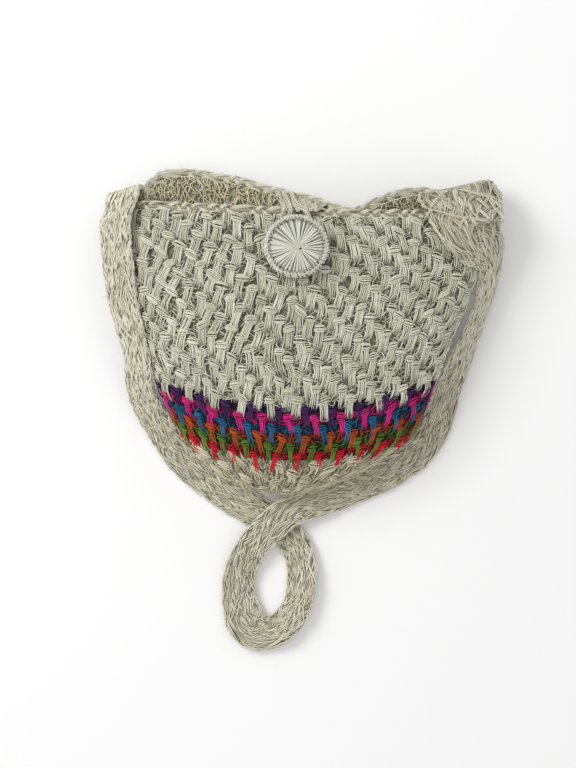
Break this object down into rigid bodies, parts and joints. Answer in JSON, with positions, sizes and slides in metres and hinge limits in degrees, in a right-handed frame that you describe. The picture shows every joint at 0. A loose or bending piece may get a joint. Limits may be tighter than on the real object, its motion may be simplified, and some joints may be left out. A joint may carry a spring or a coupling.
{
  "type": "crocheted shoulder bag",
  "caption": "Small crocheted shoulder bag with a band of coloured rounds, a thread-wound button, a button loop and a long netted strap, lying filled on its back.",
  "frame": {"origin": "on the floor under the middle of the bag's back, where it rests", "axes": "+Z out of the front of the bag, +Y towards its mouth, -Y towards the loop of the strap, +X to the right seen from the front"},
  "size_m": [0.3413, 0.4165, 0.0809],
  "materials": {
    "cream_yarn": "matte",
    "pale_cream_yarn": "matte",
    "purple_yarn": "matte",
    "magenta_yarn": "matte",
    "blue_yarn": "matte",
    "orange_yarn": "matte",
    "green_yarn": "matte",
    "red_yarn": "matte"
  },
  "bodies": {
    "root": {"upper_wall": "cream_yarn", "base": "cream_yarn", "strap": "cream_yarn", "rim_edging": "pale_cream_yarn", "button_disc": "pale_cream_yarn", "button_shank": "pale_cream_yarn", "button_loop": "pale_cream_yarn", "strap_seam_left": "pale_cream_yarn", "strap_seam_right": "pale_cream_yarn", "purple_round": "purple_yarn", "magenta_round": "magenta_yarn", "blue_round": "blue_yarn", "orange_round": "orange_yarn", "green_round": "green_yarn", "red_round": "red_yarn"}
  },
  "joints": []
}
